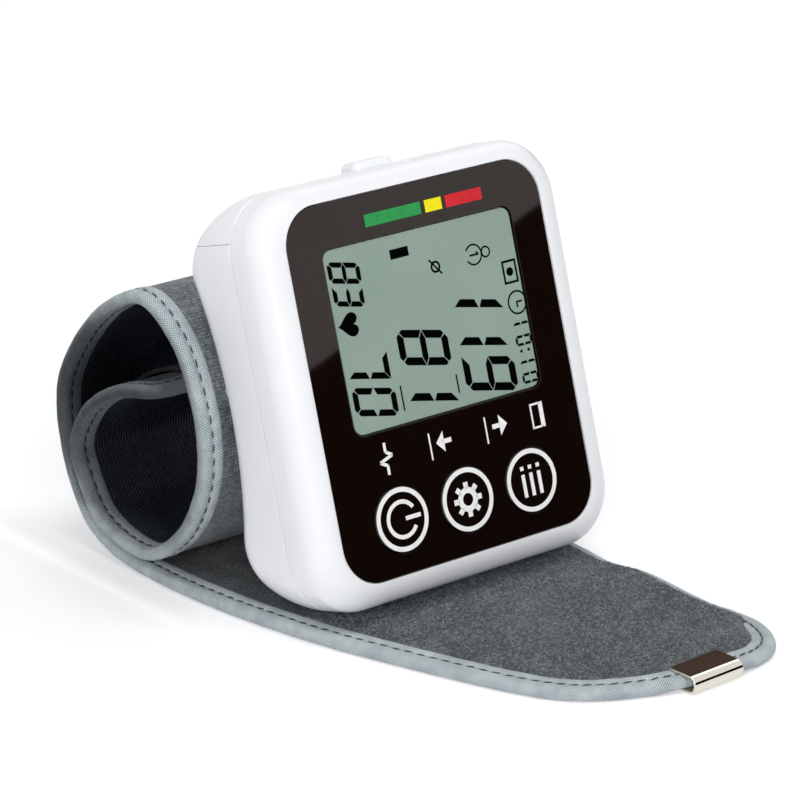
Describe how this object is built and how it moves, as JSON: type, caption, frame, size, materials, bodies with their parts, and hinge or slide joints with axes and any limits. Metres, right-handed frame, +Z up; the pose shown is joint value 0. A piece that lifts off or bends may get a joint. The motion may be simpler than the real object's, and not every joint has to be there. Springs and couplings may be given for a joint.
{
  "type": "wrist blood pressure monitor",
  "caption": "White display head with a black window and round keys on a rolled cloth wrist cuff with a taped tail.",
  "frame": {"origin": "on the table, under the middle of the bounding box", "axes": "+X along the wrist, -Y to the front where the window faces and the tail lies, +Z up"},
  "size_m": [0.0694, 0.1232, 0.0737],
  "materials": {
    "gloss_white_abs": "gloss",
    "gloss_black_acrylic": "high gloss",
    "display_glass": "satin",
    "green_board": "satin",
    "plated_steel": "plated",
    "bright_nickel": "polished",
    "dark_plastic": "matte",
    "natural_plastic": "matte",
    "silicone_rubber": "matte",
    "cell_label": "printed film",
    "grey_cloth": "brushed cloth",
    "black_lining": "ribbed cloth",
    "binding_tape": "woven tape"
  },
  "bodies": {
    "head": {"front_shell": "gloss_white_abs", "rear_shell": "gloss_white_abs", "window_sheet": "gloss_black_acrylic", "display_glass": "display_glass", "display_holder": "dark_plastic", "display_contact_strip": "silicone_rubber", "circuit_board": "green_board", "controller_chip": "dark_plastic", "buzzer": "dark_plastic", "board_screw_1": "plated_steel", "board_screw_2": "plated_steel", "case_screw_1": "plated_steel", "case_screw_2": "plated_steel", "case_screw_3": "plated_steel", "case_screw_4": "plated_steel", "power_switch": "dark_plastic", "set_switch": "dark_plastic", "memory_switch": "dark_plastic", "cell_1": "cell_label", "cell_2": "cell_label", "bridge_contact": "plated_steel", "positive_contact": "plated_steel", "negative_contact": "plated_steel", "pump_motor": "plated_steel", "pump_cup": "dark_plastic", "pump_diaphragm": "silicone_rubber", "pump_cover": "natural_plastic", "air_manifold": "natural_plastic", "pressure_sensor": "dark_plastic", "release_valve": "plated_steel", "cuff_nozzle": "natural_plastic", "pump_tube": "silicone_rubber", "valve_tube": "silicone_rubber", "sensor_sleeve": "silicone_rubber", "cuff_tube": "silicone_rubber", "cuff_rivet_1": "plated_steel", "cuff_rivet_2": "plated_steel", "cuff_outer_cloth": "grey_cloth", "cuff_lining": "black_lining", "cuff_former": "natural_plastic", "air_bladder": "silicone_rubber", "pile_lead": "grey_cloth", "hook_patch": "grey_cloth", "near_edge_tape": "binding_tape", "far_edge_tape": "binding_tape", "end_tape": "binding_tape"},
    "power_key": {"power_key": "gloss_black_acrylic"},
    "set_key": {"set_key": "gloss_black_acrylic"},
    "memory_key": {"memory_key": "gloss_black_acrylic"},
    "battery_cap": {"battery_cap": "gloss_white_abs"},
    "pump_crank": {"pump_crank": "plated_steel"},
    "tail": {"tail_tape": "binding_tape", "tail_cloth": "grey_cloth", "tail_pile": "grey_cloth", "tip_clip": "bright_nickel"}
  },
  "joints": [
    {"name": "power_key_press", "type": "slide", "parent": "head", "child": "power_key", "axis": [0, 0.9568, -0.2907], "range_m": [0, 0.0004], "stiffness_N_per_m": 1500, "springref_m": -0.0003},
    {"name": "set_key_press", "type": "slide", "parent": "head", "child": "set_key", "axis": [0, 0.9568, -0.2907], "range_m": [0, 0.0004], "stiffness_N_per_m": 1500, "springref_m": -0.0003},
    {"name": "memory_key_press", "type": "slide", "parent": "head", "child": "memory_key", "axis": [0, 0.9568, -0.2907], "range_m": [0, 0.0004], "stiffness_N_per_m": 1500, "springref_m": -0.0003},
    {"name": "battery_cap_slide", "type": "slide", "parent": "head", "child": "battery_cap", "axis": [0, 0.2907, 0.9568], "range_m": [0, 0.03]},
    {"name": "pump_crank_spin", "type": "hinge", "parent": "head", "child": "pump_crank", "pos_m": [0.0019, 0.00454, 0.01657], "axis": [1, 0, 0], "continuous": true},
    {"name": "tail_lift", "type": "hinge", "parent": "head", "child": "tail", "pos_m": [0.0019, -0.01422, 0.00235], "axis": [-1, 0, 0], "range_deg": [0, 75]}
  ]
}
